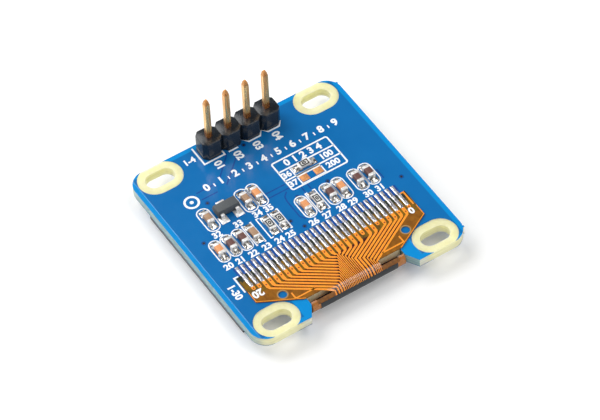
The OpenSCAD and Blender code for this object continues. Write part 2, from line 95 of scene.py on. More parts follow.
class Shader:
    """A node material under construction, with one Principled shader."""

    def __init__(self, name, colour, roughness=0.5, metallic=0.0, **sockets):
        self.material = bpy.data.materials.new(name)
        self.material.use_nodes = True
        self.tree = self.material.node_tree
        self.shader = self.tree.nodes["Principled BSDF"]
        self.shader.inputs["Base Color"].default_value = colour
        self.shader.inputs["Roughness"].default_value = roughness
        self.shader.inputs["Metallic"].default_value = metallic
        for socket, value in sockets.items():
            self.shader.inputs[socket.replace("_", " ")].default_value = value
        self.place = self.node("ShaderNodeTexCoord").outputs["Object"]

    def node(self, kind, **settings):
        node = self.tree.nodes.new(kind)
        for key, value in settings.items():
            setattr(node, key, value)
        return node

    def link(self, source, target):
        self.tree.links.new(source, target)

    def feed(self, socket, value):
        """Links a node's output to a socket, or sets a plain value on it."""
        if isinstance(value, bpy.types.NodeSocket):
            self.link(value, socket)
        else:
            socket.default_value = value

    def math(self, operation, a, b=0.0):
        node = self.node("ShaderNodeMath", operation=operation)
        for socket, value in zip(node.inputs, (a, b)):
            self.feed(socket, value)
        return node.outputs[0]

    def reach(self, x, y):
        """How far (x, y) is from nought."""
        return self.math("SQRT", self.math(
            "ADD", self.math("MULTIPLY", x, x), self.math("MULTIPLY", y, y)))

    def xyz(self):
        """The three coordinates in millimetres."""
        split = self.node("ShaderNodeSeparateXYZ")
        self.link(self.place, split.inputs[0])
        return [self.math("DIVIDE", split.outputs[i], MM) for i in range(3)]

    def noise(self, size, stretch=(1, 1, 1), detail=4.0):
        """Noise whose blotches are about size millimetres across, longer where stretch is."""
        mapping = self.node("ShaderNodeMapping")
        self.link(self.place, mapping.inputs["Vector"])
        mapping.inputs["Scale"].default_value = [1 / (size * MM * s) for s in stretch]
        noise = self.node("ShaderNodeTexNoise")
        self.link(mapping.outputs[0], noise.inputs["Vector"])
        noise.inputs["Scale"].default_value = 1
        noise.inputs["Detail"].default_value = detail
        noise.inputs["Roughness"].default_value = NOISE_ROUGHNESS
        return noise.outputs["Fac"]

    def between(self, value, low, high):
        """Rises smoothly from 0 at low to 1 at high."""
        node = self.node("ShaderNodeMapRange", interpolation_type="SMOOTHSTEP")
        self.link(value, node.inputs["Value"])
        node.inputs["From Min"].default_value = low
        node.inputs["From Max"].default_value = high
        return node.outputs[0]

    def mix(self, factor, a, b):
        """Colour a where the factor is 0, and b where it is 1."""
        node = self.node("ShaderNodeMix", data_type="RGBA")
        for socket, value in zip((node.inputs[0], node.inputs[6], node.inputs[7]), (factor, a, b)):
            self.feed(socket, value)
        return node.outputs[2]

    def colour(self, source):
        self.link(source, self.shader.inputs["Base Color"])

    def rough(self, source, low, high):
        node = self.node("ShaderNodeMapRange")
        self.link(source, node.inputs["Value"])
        node.inputs["To Min"].default_value = low
        node.inputs["To Max"].default_value = high
        self.link(node.outputs[0], self.shader.inputs["Roughness"])

    def bump(self, source, height):
        """A relief as high as height millimetres."""
        node = self.node("ShaderNodeBump")
        self.link(source, node.inputs["Height"])
        node.inputs["Distance"].default_value = height * MM
        node.inputs["Strength"].default_value = 1
        self.link(node.outputs[0], self.shader.inputs["Normal"])


def plain(name, colour, other, roughness, metallic=0.0, size=0.3, relief=0.004):
    """A material that drifts between two colours, with matching gloss and a fine relief."""
    made = Shader(name, colour, roughness, metallic)
    drift = made.noise(size)
    made.colour(made.mix(made.between(drift, 0.35, 0.65), colour, other))
    made.rough(drift, roughness * 0.8, roughness * 1.2)
    made.bump(made.noise(size / 4), relief)
    return made.material


def metal(name, colour, other, roughness, metallic, dents, depth, streak=(1, 1, 1)):
    """Solder or plating: soft dents, and a tone that drifts along its streaks between two colours;
    where the second is dark, these streaks are painted reflection of dark surroundings.
    """
    made = Shader(name, colour, roughness, metallic)
    drift = made.noise(dents, stretch=streak, detail=2.0)
    made.colour(made.mix(made.between(drift, 0.38, 0.62), colour, other))
    made.rough(drift, roughness * 0.7, roughness * 1.3)
    made.bump(made.noise(dents, stretch=streak, detail=1.0), depth)
    return made.material


# --------------------------------------------------------------------- pieces


def add_piece(name, mesh_builder, material, replaces=(), sharp_angle=35):
    """Makes an object from a bmesh in millimetres, and rides it on the part's only body."""
    mesh = bpy.data.meshes.new(name)
    bmesh.ops.recalc_face_normals(mesh_builder, faces=mesh_builder.faces[:])
    mesh_builder.to_mesh(mesh)
    mesh_builder.free()
    mesh.transform(Matrix.Scale(MM, 4))
    mesh.polygons.foreach_set("use_smooth", [True] * len(mesh.polygons))
    mesh.set_sharp_from_angle(angle=math.radians(sharp_angle))
    mesh.materials.append(material)
    piece = bpy.data.objects.new(name, mesh)
    scene.collection.objects.link(piece)
    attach(piece, "root")
    if replaces:
        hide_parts(*replaces)


def bevel_edges(into, edges, size, segments):
    bmesh.ops.bevel(
        into, geom=list(edges), offset=size, segments=segments, affect="EDGES", profile=0.5
    )


def box(into, low, high, bevel, segments=2):
    """Adds a bevelled box between two corners."""
    low, high = Vector(low), Vector(high)
    place = Matrix.Translation((low + high) / 2) @ Matrix.Diagonal((*(high - low), 1))
    made = bmesh.ops.create_cube(into, size=1, matrix=place)
    edges = {edge for vert in made["verts"] for edge in vert.link_edges}
    bevel_edges(into, edges, bevel, segments)


def extrude_outline(into, outline, z0, z1, bevel=0.0, segments=2):
    """Adds a prism from a flat outline of (x, y) points, with its top and side edges bevelled."""
    bottom = [into.verts.new((x, y, z0)) for x, y in outline]
    top = [into.verts.new((x, y, z1)) for x, y in outline]
    into.faces.new(bottom[::-1])
    into.faces.new(top)
    count = len(outline)
    for i in range(count):
        j = (i + 1) % count
        into.faces.new((bottom[i], bottom[j], top[j], top[i]))
    if bevel:
        bevel_edges(into, {edge for vert in top for edge in vert.link_edges}, bevel, segments)


def join_rings(into, rings):
    """Joins rings of four points into a closed bar."""
    for lower, upper in zip(rings, rings[1:]):
        for i in range(4):
            j = (i + 1) % 4
            into.faces.new((lower[i], lower[j], upper[j], upper[i]))
    into.faces.new(rings[0][::-1])
    into.faces.new(rings[-1])


def arc(cx, cy, radius, start, end, steps=8):
    """Points on an arc, with its angles in degrees."""
    points = []
    for i in range(steps + 1):
        angle = math.radians(start + (end - start) * i / steps)
        points.append((cx + radius * math.cos(angle), cy + radius * math.sin(angle)))
    return points


def stadium(x0, x1, y0, y1, radius, steps):
    """A closed rectangular outline with rounded corners."""
    radius = min(radius, (x1 - x0) / 2, (y1 - y0) / 2)
    return (
        arc(x1 - radius, y1 - radius, radius, 0, 90, steps)
        + arc(x0 + radius, y1 - radius, radius, 90, 180, steps)
        + arc(x0 + radius, y0 + radius, radius, 180, 270, steps)
        + arc(x1 - radius, y0 + radius, radius, 270, 360, steps)
    )


def ribbon(into, path, width, z0, z1, closed=False):
    """Adds a flat line along a path of (x, y) points, with mitred bends and one or more widths."""
    points = [Vector(point) for point in path]
    count = len(points)
    widths = width if isinstance(width, list) else [width] * count
    rails = []
    for i, point in enumerate(points):
        before = points[i - 1] if closed or i else point
        after = points[(i + 1) % count] if closed or i < count - 1 else point
        along_in = (point - before).normalized() if point != before else None
        along_out = (after - point).normalized() if after != point else None
        along = (along_in or along_out) + (along_out or along_in)
        along.normalize()
        side = Vector((-along.y, along.x))
        lean = side.dot(Vector((-(along_out or along_in).y, (along_out or along_in).x)))
        reach = side * (widths[i] / 2 / max(lean, 0.5))
        rails.append([
            into.verts.new((point.x + sign * reach.x, point.y + sign * reach.y, z))
            for sign in (1, -1) for z in (z0, z1)
        ])
    for i in range(count if closed else count - 1):
        a, b = rails[i], rails[(i + 1) % count]
        for p, q in ((1, 3), (3, 2), (2, 0), (0, 1)):
            into.faces.new((a[p], a[q], b[q], b[p]))
    if not closed:
        for end in (rails[0], rails[-1]):
            into.faces.new((end[0], end[1], end[3], end[2]))


def disc(into, x, y, radius, z0, z1, steps=20):
    """Adds a flat round plate."""
    extrude_outline(into, arc(x, y, radius, 0, 360 - 360 / steps, steps - 1), z0, z1)


def digits(words, x, y, size, turn, z, into, thick=0.014):
    """Flat plain digits, centred on a point."""
    curve = bpy.data.curves.new("digits", "FONT")
    curve.body = words
    curve.size = size
    curve.align_x = "CENTER"
    curve.align_y = "CENTER"
    curve.offset = 0.042 * size
    curve.resolution_u = 4
    curve.extrude = thick / 2
    holder = bpy.data.objects.new("digits", curve)
    mesh = bpy.data.meshes.new_from_object(holder)
    place = Matrix.Translation((x, y, z - thick / 2)) @ Matrix.Rotation(math.radians(turn), 4, "Z")
    mesh.transform(place)
    into.from_mesh(mesh)
    bpy.data.objects.remove(holder)
    bpy.data.curves.remove(curve)
    bpy.data.meshes.remove(mesh)


def merge(into, other):
    """Moves one builder's mesh into another."""
    mesh = bpy.data.meshes.new("merged")
    other.to_mesh(mesh)
    other.free()
    into.from_mesh(mesh)
    bpy.data.meshes.remove(mesh)


# ------------------------------------------------------------ board materials

POUR_MARGIN = 0.55
POUR_BLUR = 0.06
SLOT_X = 10.3
SLOT_Y = 12.0
BARE_L = 5.4
BARE_W = 4.1
NOTCH_W = 12.2
NOTCH_D = 2.6
NOTCH_MARGIN = 1.0
WEAVE_SIZE = 2.2


def mask_material():
    """Blue solder mask: deeper over the copper pour, paler along edges and by the notch."""
    made = Shader("solder_mask", srgb(16, 108, 182), 0.2, Specular_IOR_Level=0.4)
    x, y, _ = made.xyz()
    across = made.math("ABSOLUTE", x)
    along = made.math("ABSOLUTE", y)
    edge = made.math(
        "MINIMUM",
        made.math("SUBTRACT", BOARD_HIGH.x, across),
        made.math("SUBTRACT", BOARD_HIGH.y, along),
    )
    notch = made.math(
        "MAXIMUM",
        made.math("SUBTRACT", made.math("SUBTRACT", across, NOTCH_W / 2), NOTCH_MARGIN),
        made.math("SUBTRACT", y, BOARD_LOW.y + NOTCH_D),
    )
    margin = made.math("MINIMUM", edge, notch)
    pour = made.between(margin, POUR_MARGIN - POUR_BLUR, POUR_MARGIN + POUR_BLUR)
    cloud = made.noise(6, detail=3)
    deep = made.mix(cloud, srgb(10, 102, 170), srgb(20, 115, 182))
    made.colour(made.mix(pour, srgb(8, 140, 212), deep))
    made.rough(made.noise(1.5), 0.13, 0.2)
    grain = made.math("MULTIPLY", made.noise(0.35, detail=5), 0.3)
    made.bump(made.math("ADD", grain, pour), 0.012)
    return made.material


def laminate_material():
    """Bare glass-fibre laminate: a faint weave on top, and layers along the cut edges, which are
    paler and greyer away from the slots. There the edges facing front and back are painted lighter as
    if lit, and the edges facing the sides carry painted shade."""
    made = Shader("laminate", srgb(240, 234, 184), 0.42, Specular_IOR_Level=0.4,
                  Subsurface_Weight=0.8, Subsurface_Scale=1.6 * MM, Subsurface_Radius=(1, 1, 0.7))
    x, y, _ = made.xyz()
    across = made.math("ABSOLUTE", x)
    along = made.math("ABSOLUTE", y)
    slot_x = made.math("MAXIMUM", made.math("SUBTRACT", made.math("ABSOLUTE", made.math(
        "SUBTRACT", across, SLOT_X)), (BARE_L - BARE_W) / 2), 0)
    slot_y = made.math("SUBTRACT", along, SLOT_Y)
    away = made.between(made.reach(slot_x, slot_y), BARE_W / 2 + 0.2, BARE_W / 2 + 0.8)
    weave_x = made.node("ShaderNodeTexWave", bands_direction="X")
    weave_y = made.node("ShaderNodeTexWave", bands_direction="Y")
    for wave in (weave_x, weave_y):
        made.link(made.place, wave.inputs["Vector"])
        wave.inputs["Scale"].default_value = 1 / (WEAVE_SIZE * MM)
        wave.inputs["Distortion"].default_value = 1.5
    weave = made.math("MULTIPLY", weave_x.outputs["Fac"], weave_y.outputs["Fac"])
    layers = made.noise(0.12, stretch=(30, 30, 1), detail=3)
    layer = made.between(layers, 0.35, 0.65)
    drift = made.between(made.noise(1.2), 0.3, 0.7)
    body = made.mix(drift, srgb(246, 241, 192), srgb(234, 228, 174))
    normal = made.node("ShaderNodeNewGeometry").outputs["Normal"]
    split = made.node("ShaderNodeSeparateXYZ")
    made.link(normal, split.inputs[0])
    upright = made.between(made.math("ABSOLUTE", split.outputs[2]), 0.3, 0.7)
    # Painted light and shade: edges facing the sides get a darker shaded colour, and edges facing
    # front and back a lighter lit one.
    shaded_sideways = made.between(made.math("ABSOLUTE", split.outputs[0]), 0.4, 0.8)
    lit_front = made.mix(layer, srgb(240, 240, 214), srgb(222, 226, 200))
    side = made.mix(layer, srgb(146, 176, 174), srgb(116, 150, 153))
    edge = made.mix(away, made.mix(layer, srgb(246, 241, 196), srgb(232, 226, 176)),
                    made.mix(shaded_sideways, lit_front, side))
    made.colour(made.mix(upright, edge, body))
    made.rough(drift, 0.35, 0.5)
    made.bump(made.math("ADD", made.math("MULTIPLY", weave, 0.5), layers), 0.006)
    return made.material


MASK = mask_material()
LAMINATE = laminate_material()
TRACK = plain("mask_over_gap", srgb(16, 72, 148), srgb(20, 80, 158), 0.22)
SILK = plain("silkscreen", srgb(255, 255, 255), srgb(240, 245, 250), 0.6, relief=0.003)
# Painted reflection: the dark second colour streaks the contact tin like mirrored dark surroundings.
TIN_STRIP_PAINTED_REFLECTION = metal("tinned_strip_painted_reflection", srgb(236, 235, 238), srgb(122, 122, 132), 0.17, 0.55,
                  0.11, 0.0075, streak=(1, 4, 1))
TIN = metal("tinned", srgb(252, 251, 250), srgb(216, 214, 211), 0.3, 0.3, 0.3, 0.012)
# Painted reflection: the dark second colour stands in for the dark streaks that the fillets mirror.
SOLDER_PAINTED_REFLECTION = metal("solder", srgb(228, 225, 220), srgb(112, 108, 103), 0.22, 0.84, 0.32, 0.017)
COPPER = plain("bare_copper", srgb(234, 164, 102), srgb(210, 138, 82), 0.4, 0.35, size=0.2)
HOUSING = plain("black_plastic", srgb(24, 30, 37), srgb(32, 38, 44), 0.2, relief=0.006)
EPOXY = plain("moulded_epoxy", srgb(72, 77, 80), srgb(82, 87, 90), 0.5, size=0.08, relief=0.006)
SALMON = plain("ceramic_salmon", srgb(238, 166, 108), srgb(222, 146, 92), 0.45, size=0.1)
TAN = plain("ceramic_tan", srgb(184, 148, 116), srgb(160, 126, 98), 0.45, size=0.1)
BROWN = plain("ceramic_brown", srgb(112, 74, 66), srgb(96, 62, 56), 0.42, size=0.1)
WHITE = plain("ceramic_white", srgb(232, 232, 228), srgb(214, 214, 210), 0.45, size=0.1)
GLAZE = plain("resistor_glaze", srgb(34, 34, 36), srgb(48, 48, 50), 0.2, size=0.1)
FOAM = plain("foam", srgb(30, 31, 33), srgb(44, 45, 47), 0.9, size=0.1, relief=0.03)
GLASS = plain("panel_glass", srgb(46, 52, 58), srgb(52, 58, 64), 0.08, size=2, relief=0.0005)
COVER = plain("cover_glass", srgb(120, 130, 134), srgb(110, 120, 124), 0.1, size=2, relief=0.0005)
FILM = plain("polarizer_film", srgb(18, 20, 24), srgb(24, 26, 30), 0.25, size=2, relief=0.001)
CHIP = plain("silicon", srgb(60, 64, 70), srgb(66, 70, 76), 0.12, size=0.5, relief=0.0005)
BLACK_FILM = plain("black_film", srgb(26, 31, 36), srgb(34, 39, 43), 0.5, relief=0.006)
# Painted shade: a near-black for the inside of each via's hole.
VIA_HOLE_SHADE = plain("via_hole_painted_shade", srgb(10, 14, 26), srgb(14, 20, 34), 0.4)
NOTCH_WALL_PAINTED_LIGHT = plain("notch_wall_painted_light", srgb(255, 244, 206), srgb(248, 230, 186), 0.5)


def dress(node, material):
    """Gives a CAD node its material."""
    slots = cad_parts[node].data.materials
    slots.clear()
    slots.append(material)


for node, material in {
    "pcb_laminate": LAMINATE, "solder_mask_front": MASK, "solder_mask_back": MASK,
    "display_glass": GLASS, "cover_glass": COVER, "polarizer": FILM, "foam_tape": FOAM,
    "driver_chip": CHIP, "flex_coverlay": BLACK_FILM, "header_solder": SOLDER_PAINTED_REFLECTION,
}.items():
    dress(node, material)

# Painted light: a skin paler than the laminate on the notch's back wall, which lies in shade under
# the flex.
SKIN_INSET = 0.02
SKIN_PROUD = 0.03
SKIN_SINK = 0.01
SKIN_BEVEL = 0.01
wall = bmesh.new()
wall_y = BOARD_LOW.y + NOTCH_D
box(wall, (-NOTCH_W / 2 + SKIN_INSET, wall_y - SKIN_PROUD, BOARD_LOW.z + SKIN_INSET),
    (NOTCH_W / 2 - SKIN_INSET, wall_y + SKIN_SINK, BOARD_HIGH.z - SKIN_INSET), SKIN_BEVEL)
add_piece("notch_wall_painted_light_skin", wall, NOTCH_WALL_PAINTED_LIGHT)

# --------------------------------------------------------------- flex circuit

SHEET_R = (FLEX_HIGH.z - FLEX_LOW.z) / 2
FOLD_Y = FLEX_LOW.y + SHEET_R
FOLD_Z = FLEX_LOW.z + SHEET_R
FAN_SPREAD = 1.62
NECK_HALF = 3.1
NECK_BLUR = 0.1
TOOLING_X = 8.0
TOOLING_Y = 2.0
LEAD_Y = CONTACT_LOW.y - 1.2
LEAD_BLUR = 0.1


def polyimide_material():
    """Amber film: brown at its sides, dark between traces, olive and gold between contacts, and
    lighter amber on the fold, which is painted light.
    """
    made = Shader("polyimide", srgb(150, 94, 30), 0.16, Coat_Weight=0.3)
    x, y, _ = made.xyz()
    drift = made.between(made.noise(0.8), 0.3, 0.7)
    amber = made.mix(drift, srgb(164, 106, 34), srgb(134, 82, 22))
    across = made.math("ABSOLUTE", x)
    spread = made.math("MULTIPLY", made.math("MAXIMUM", made.math(
        "SUBTRACT", y, FOLD_Y), 0), FAN_SPREAD)
    fan = made.between(
        made.math("SUBTRACT", across, spread), NECK_HALF - NECK_BLUR, NECK_HALF + NECK_BLUR)
    under = made.mix(drift, srgb(92, 40, 30), srgb(74, 32, 26))
    hole_x = made.math("SUBTRACT", across, TOOLING_X)
    hole_y = made.math("SUBTRACT", y, FOLD_Y + TOOLING_Y)
    hole = made.between(made.reach(hole_x, hole_y), 0.6, 0.68)
    amber = made.mix(hole, srgb(184, 148, 96), amber)
    # Painted light: the film turns lighter amber past the start of the fold, where it bends towards
    # the light.
    fold = made.between(y, FOLD_Y - 0.5, FOLD_Y - 0.2)
    amber = made.mix(fold, srgb(190, 116, 36), amber)
    bare = made.between(y, LEAD_Y - LEAD_BLUR, LEAD_Y + LEAD_BLUR)
    gold = made.mix(drift, srgb(150, 110, 30), srgb(98, 76, 34))
    olive = made.mix(drift, srgb(62, 70, 52), srgb(44, 52, 50))
    rear = made.between(made.math("ADD", y, made.math("MULTIPLY", drift, 0.5)),
                        CONTACT_LOW.y + 1.1, CONTACT_LOW.y + 1.6)
    made.colour(made.mix(bare, made.mix(fan, under, amber), made.mix(rear, gold, olive)))
    made.rough(drift, 0.1, 0.22)
    made.bump(made.noise(0.5), 0.004)
    made.shader.inputs["Alpha"].default_value = 0.86
    return made.material


def trace_material():
    """Copper under amber film: bright orange with faint lengthwise streaks."""
    made = Shader("flex_copper", srgb(255, 152, 30), 0.36, Coat_Weight=0.6, Coat_Roughness=0.14)
    streak = made.between(made.noise(0.12, stretch=(1, 6, 1)), 0.35, 0.65)
    made.colour(made.mix(streak, srgb(255, 164, 34), srgb(250, 142, 22)))
    made.rough(streak, 0.3, 0.42)
    made.bump(made.noise(0.1), 0.002)
    return made.material


TRACE = trace_material()
SHADE = plain("polyimide_shade", srgb(146, 88, 10), srgb(112, 66, 6), 0.5)
VIA_DOT = plain("trace_hole", srgb(150, 40, 12), srgb(120, 30, 10), 0.4, size=0.1)
dress("flex_circuit", polyimide_material())


def contact_x(index):
    return CONTACT_LOW.x + CONTACT_W / 2 + index * CONTACT_PITCH


def wrap(flat):
    """Bends what runs past the start of the fold round the fold."""
    for vert in flat.verts:
        x, y, z = vert.co
        if y < FOLD_Y:
            angle = (FOLD_Y - y) / SHEET_R
            reach = SHEET_R + z - FLEX_TOP
            vert.co = (x, FOLD_Y - reach * math.sin(angle), FOLD_Z + reach * math.cos(angle))


def refine(path, widths):
    """Adds points along a path, and widths between theirs, so that it can bend."""
    points, wide = [path[0]], [widths[0]]
    for (x0, y0), (x1, y1), w0, w1 in zip(path, path[1:], widths, widths[1:]):
        count = max(1, math.ceil(math.hypot(x1 - x0, y1 - y0) / BEND_STEP))
        for i in range(1, count + 1):
            t = i / count
            points.append((x0 + (x1 - x0) * t, y0 + (y1 - y0) * t))
            wide.append(w0 + (w1 - w0) * t)
    return points, wide


BEND_STEP = 0.15
STUB_LENGTHS = {0: 0.5, 1: 0.62, 20: 0.8, 23: 0.55, 29: 0.45}
TRACE_TURN = 66
TRACE_END = FOLD_Y - SHEET_R * math.radians(TRACE_TURN)
TRACE_TOP = FLEX_TOP + 0.02
LINE_TOP = FLEX_TOP + 0.017
SLOPE_LEFT = 0.72
SLOPE_RIGHT = 0.5635
NECK_LEFT = (0.1, 0.28, 0.46, 0.64, 0.82, 1.0, 1.2, 1.4, 1.62, 1.88, 2.2, 2.55, 2.95)
NECK_RIGHT = (0.1, 0.3, 0.52, 0.74, 0.96, 1.25, 1.63, 2.03, 2.36, 2.56, 2.76, 2.96)
BROAD_RANKS = (5, 6, 7)
BROAD_END = FOLD_Y + 0.45
RIGHT_START = 0.35
RIGHT_DROP = 0.434
LEAD_MAX = 0.25
SLOPE_W = 0.25
BEND_W = 0.13
NECK_W = 0.19
FINE_W = 0.09
WIDE_NECK_X = -1.8
PATCH_W = 0.18
EDGE_W = 0.08
DOT_R = 0.1
DOT_RISE = 0.003
DOT_NEAR = 0.38
DOT_FAR = 0.62
STUB_DOT = 0.55
WINDOW_IN = 3.1
WINDOW_OUT = 5.4
WINDOW_FOOT = 36
WINDOW_END = 69
WINDOW_STEP = 4

traces = bmesh.new()
dots = bmesh.new()


def trace_line(x, lead_y, neck_x, slope, broad_end):
    """One trace: a broad start with a hole, a slope inwards, then the neck and the fold."""
    side = 1 if neck_x > x else -1
    half = CONTACT_W / 2
    outline = [
        (x - side * half, CONTACT_LOW.y), (x - side * half, lead_y + 0.2),
        (x - side * 0.04, lead_y - 0.12), (x + side * half, lead_y - 0.04),
        (x + side * half, CONTACT_LOW.y),
    ]
    extrude_outline(traces, outline if side > 0 else outline[::-1], FLEX_TOP, TRACE_TOP)
    neck_y = lead_y - abs(neck_x - x) * slope
    lead = min(LEAD_MAX, abs(neck_x - x) * 0.5)
    path = [(x, lead_y), (neck_x - side * lead, neck_y + lead * slope), (neck_x, neck_y)]
    widths = [SLOPE_W, SLOPE_W, SLOPE_W if broad_end else BEND_W]
    if broad_end:
        path.append((neck_x, broad_end))
        widths.append(SLOPE_W)
    path += [(neck_x, min(path[-1][1] - 0.2, FOLD_Y)), (neck_x, TRACE_END)]
    fine = NECK_W if broad_end or neck_x < WIDE_NECK_X else FINE_W
    widths += [fine, fine]
    points, widths = refine(path, widths)
    ribbon(traces, points, widths, FLEX_TOP, LINE_TOP)


left = [i for i in range(CONTACT_COUNT) if contact_x(i) < 0 and i not in STUB_LENGTHS]
right = [i for i in range(CONTACT_COUNT) if contact_x(i) > 0 and i not in STUB_LENGTHS]
for rank, index in enumerate(reversed(left)):
    trace_line(contact_x(index), LEAD_Y, -NECK_LEFT[rank], SLOPE_LEFT, None)
for rank, index in enumerate(right):
    x = contact_x(index)
    lead_y = LEAD_Y - RIGHT_START - rank * RIGHT_DROP + x * SLOPE_RIGHT
    broad_end = BROAD_END if rank in BROAD_RANKS else None
    trace_line(x, lead_y, NECK_RIGHT[rank], SLOPE_RIGHT, broad_end)
for index, length in STUB_LENGTHS.items():
    x = contact_x(index)
    end = CONTACT_LOW.y - length + CONTACT_W / 2
    outline = [(x - CONTACT_W / 2, CONTACT_LOW.y)] + arc(x, end, CONTACT_W / 2, 180, 360)
    outline.append((x + CONTACT_W / 2, CONTACT_LOW.y))
    extrude_outline(traces, outline, FLEX_TOP, TRACE_TOP)
for index in range(CONTACT_COUNT):
    y = CONTACT_LOW.y - (DOT_NEAR if index % 2 else DOT_FAR)
    if index in STUB_LENGTHS:
        y = CONTACT_LOW.y - STUB_LENGTHS[index] * STUB_DOT
    disc(dots, contact_x(index), y, DOT_R, FLEX_TOP, TRACE_TOP + DOT_RISE, 10)
for path, width in (
    ([(-7.1, -9.95), (-7.1, -10.85), (-4.6, -10.85)], PATCH_W),
    ([(6.9, -9.95), (6.9, -10.9), (4.1, -10.9)], PATCH_W),
    ([(10.4, -5.02), (10.76, -5.02), (10.76, -7.05)], PATCH_W),
    ([(-10.92, -7.3), (-10.92, -8.85), (-6.2, -11.42)], EDGE_W),
    ([(10.92, -7.3), (10.92, -8.85), (6.2, -11.42)], EDGE_W),
):
    ribbon(traces, path, width, FLEX_TOP, LINE_TOP)
wrap(traces)
add_piece("flex_trace_lines", traces, TRACE, ["flex_traces"])

# The amber film left in the lower part of each window, a little under the sheet's face. Its darker
# amber is painted shade.
film = bmesh.new()
for side in (-1, 1):
    x = side * (WINDOW_IN + WINDOW_OUT) / 2
    turns = range(WINDOW_FOOT, WINDOW_END, WINDOW_STEP)
    path = [(x, FOLD_Y - SHEET_R * math.radians(turn)) for turn in turns]
    ribbon(film, path, WINDOW_OUT - WINDOW_IN, FLEX_TOP - 0.07, FLEX_TOP - 0.02)
wrap(film)
add_piece("flex_window_film", film, SHADE)
add_piece("flex_trace_holes", dots, VIA_DOT)


def height_field(into, grid, floor_z):
    """Closes a grid of points into a solid whose underside is flat."""
    rows = [[into.verts.new(point) for point in line] for line in grid]
    for a, b in zip(rows, rows[1:]):
        for i in range(len(a) - 1):
            into.faces.new((a[i], a[i + 1], b[i + 1], b[i]))
    rim = rows[0] + [row[-1] for row in rows[1:]] + rows[-1][-2::-1]
    rim += [row[0] for row in rows[-2:0:-1]]
    foot = [into.verts.new((vert.co.x, vert.co.y, floor_z)) for vert in rim]
    for i in range(len(rim)):
        j = (i + 1) % len(rim)
        into.faces.new((rim[i], foot[i], foot[j], rim[j]))
    into.faces.new(foot[::-1])


def strip(into, x, y0, y1, z, height, seed):
    """A tinned contact: a long low mound of solder whose crest and sides wander slowly."""
    wander = random.Random(seed)
    phases = [wander.uniform(0, 6.28) for _ in range(3)]
    swell = wander.uniform(0.8, 1.2)
    rows = 18
    columns = 8
    grid = []
    for row in range(rows + 1):
        v = row / rows
        along = (y1 - y0) * v
        end = min(v, 1 - v) * (y1 - y0)
        rise = height * swell * min(1.0, 0.35 + end / 0.15)
        rise *= 1 + 0.12 * math.sin(4.1 * along + phases[0])
        lean = 0.12 * math.sin(3.3 * along + phases[1])
        shift = 0.004 * math.sin(5.2 * along + phases[2])
        line = []
        for column in range(columns + 1):
            u = 2 * column / columns - 1
            crest = (1 - abs(0.97 * u + lean * (1 - u * u)) ** 3) ** 0.6
            line.append((x + shift + CONTACT_W / 2 * u, y0 + along, z + rise * crest))
        grid.append(line)
    height_field(into, grid, z - 0.004)


PAD_SOLDER_H = 0.075
CONTACT_SOLDER_H = 0.07
pads = bmesh.new()
contacts = bmesh.new()
for index in range(CONTACT_COUNT):
    x = contact_x(index)
    strip(pads, x, CONTACT_HIGH.y - 0.02, PADS_HIGH.y, TOP + 0.01, PAD_SOLDER_H, 100 + index)
    strip(contacts, x, CONTACT_LOW.y, CONTACT_HIGH.y + 0.03, FLEX_TOP, CONTACT_SOLDER_H,
          200 + index)
add_piece("connector_pad_solder", pads, TIN_STRIP_PAINTED_REFLECTION, ["connector_pads"], 60)
add_piece("flex_contact_solder", contacts, TIN_STRIP_PAINTED_REFLECTION, ["flex_contacts"], 60)

# ----------------------------------------------------------- chip components


def at_node(node):
    """Where a chip stands: its centre, and a quarter turn if it lies along X."""
    low, high = box_mm(node)
    centre = (low + high) / 2
    turned = high.x - low.x > high.y - low.y
    turn = Matrix.Rotation(math.radians(90 if turned else 0), 4, "Z")
    return Matrix.Translation((centre.x, centre.y, 0)) @ turn


CHIP_L = 1.6
CHIP_W = 0.8
CHIP_H = 0.64
CAP_L = 0.38
RESISTOR_CAP_L = 0.26
CHIP_PAD_GAP = 0.9
CHIP_PAD_L = 1.03
CHIP_PAD_W = 0.94
BODY_INSET = 0.02
BODY_END = 0.1
BODY_DIP = 0.025


def chip_height(node):
    return min(box_mm(node)[1].z - PAD_TOP, CHIP_H)


def chip_body(node, colour):
    """The ceramic between a chip's metal ends, a little slimmer than they are."""
    body = bmesh.new()
    box(body, (-CHIP_W / 2 + BODY_INSET, -CHIP_L / 2 + BODY_END, PAD_TOP + BODY_INSET),
        (CHIP_W / 2 - BODY_INSET, CHIP_L / 2 - BODY_END, PAD_TOP + chip_height(node) - BODY_DIP),
        0.04)
    body.transform(at_node(node))
    add_piece(node + "_body", body, colour, [node])


def chip_ends(into, node):
    """The two dipped metal ends of a chip, with rounded edges."""
    height = chip_height(node)
    cap_l = CAP_L if node in CAPACITORS else RESISTOR_CAP_L
    ends = bmesh.new()
    for side in (-1, 1):
        y0, y1 = sorted((side * CHIP_L / 2, side * (CHIP_L / 2 - cap_l)))
        box(ends, (-CHIP_W / 2, y0, PAD_TOP), (CHIP_W / 2, y1, PAD_TOP + height), 0.07, 3)
    ends.transform(at_node(node))
    merge(into, ends)


